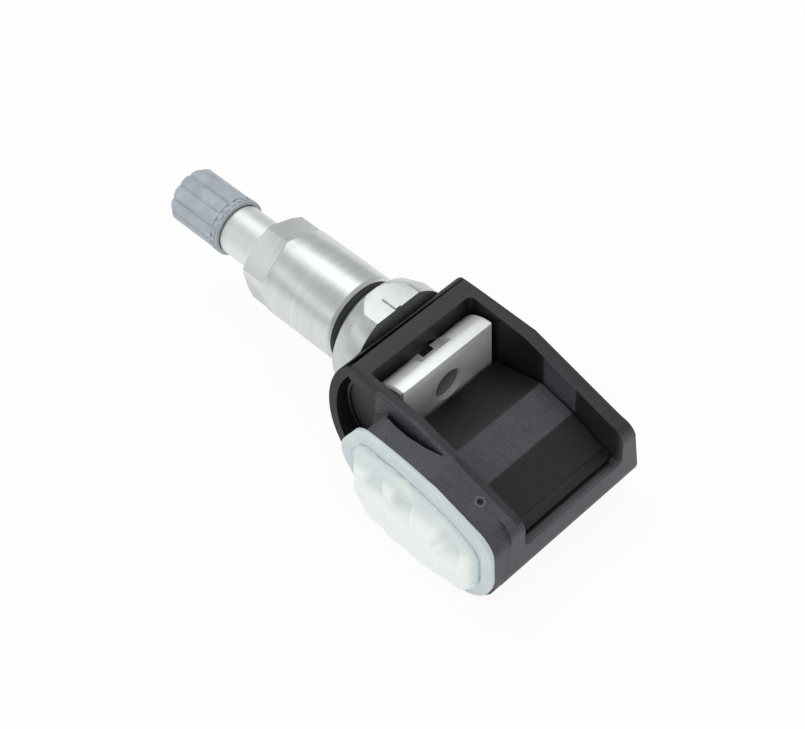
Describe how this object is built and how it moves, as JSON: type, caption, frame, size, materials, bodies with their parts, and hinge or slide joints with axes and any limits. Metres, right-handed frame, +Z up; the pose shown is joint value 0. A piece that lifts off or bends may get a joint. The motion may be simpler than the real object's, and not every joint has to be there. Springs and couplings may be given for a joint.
{
  "type": "tyre pressure sensor",
  "caption": "Tyre pressure sensor: a black housing with potted electronics and an open tray, carrying a swivelling metal valve with union nut, sealing ring and screw cap.",
  "frame": {"origin": "on the plane of the housing's underside, straight below the axis that the valve swivels on", "axes": "+X along the housing, away from the valve cap; +Y across it, away from the potted side; +Z up, out of the tray"},
  "size_m": [0.0788, 0.0324, 0.0228],
  "materials": {
    "housing": "fine-grained moulding",
    "potting_cover": "milky cast resin, satin",
    "clamp_bar": "ground",
    "valve_foot": "die-cast",
    "rim_seal": "matte",
    "valve_stem": "turned",
    "union_nut": "turned",
    "nut_washer": "plain",
    "valve_cap": "satin",
    "cap_seal": "matte",
    "core_body": "turned",
    "core_gasket": "matte",
    "core_pin": "turned",
    "core_cup": "matte",
    "core_spring": "drawn wire",
    "coin_cell": "bright",
    "cell_tab_top": "nickel strip",
    "cell_tab_base": "nickel strip",
    "circuit_board": "coated",
    "sensor_chip": "moulded",
    "radio_chip": "moulded",
    "crystal": "bright",
    "coil_core": "ferrite",
    "coil_winding": "lacquered copper wire"
  },
  "bodies": {
    "housing": {"housing": "housing", "potting_cover": "potting_cover", "circuit_board": "circuit_board", "coin_cell": "coin_cell", "cell_tab_top": "cell_tab_top", "cell_tab_base": "cell_tab_base", "sensor_chip": "sensor_chip", "radio_chip": "radio_chip", "crystal": "crystal", "coil_core": "coil_core", "coil_winding": "coil_winding"},
    "valve": {"valve_stem": "valve_stem", "valve_foot": "valve_foot", "clamp_bar": "clamp_bar", "rim_seal": "rim_seal", "core_body": "core_body", "core_gasket": "core_gasket", "core_spring": "core_spring"},
    "nut_washer": {"nut_washer": "nut_washer"},
    "union_nut": {"union_nut": "union_nut"},
    "cap_seal": {"cap_seal": "cap_seal"},
    "valve_cap": {"valve_cap": "valve_cap"},
    "core_pin": {"core_pin": "core_pin", "core_cup": "core_cup"}
  },
  "joints": [
    {"name": "valve_swivel", "type": "hinge", "parent": "housing", "child": "valve", "pos_m": [0, 0, 0.014], "axis": [0, 1, 0], "range_deg": [-10, 15]},
    {"name": "nut_slide", "type": "slide", "parent": "valve", "child": "nut_washer", "axis": [-1, 0, 0], "range_m": [0, 0.0066]},
    {"name": "nut_turn", "type": "hinge", "parent": "nut_washer", "child": "union_nut", "pos_m": [-0.025, 0, 0.014], "axis": [-1, 0, 0], "range_deg": [0, 3177.6]},
    {"name": "cap_slide", "type": "slide", "parent": "valve", "child": "cap_seal", "axis": [-1, 0, 0], "range_m": [0, 0.006]},
    {"name": "cap_turn", "type": "hinge", "parent": "cap_seal", "child": "valve_cap", "pos_m": [-0.05, 0, 0.014], "axis": [-1, 0, 0], "range_deg": [0, 2729.5]},
    {"name": "core_press", "type": "slide", "parent": "valve", "child": "core_pin", "axis": [1, 0, 0], "range_m": [0, 0.001], "stiffness_N_per_m": 400, "springref_m": -0.002, "deforming": ["core_spring"]}
  ],
  "couplings": [
    {"joint": "nut_turn", "follows": "nut_slide", "rad_per_m": 8377.6},
    {"joint": "cap_turn", "follows": "cap_slide", "rad_per_m": 7913.3}
  ]
}
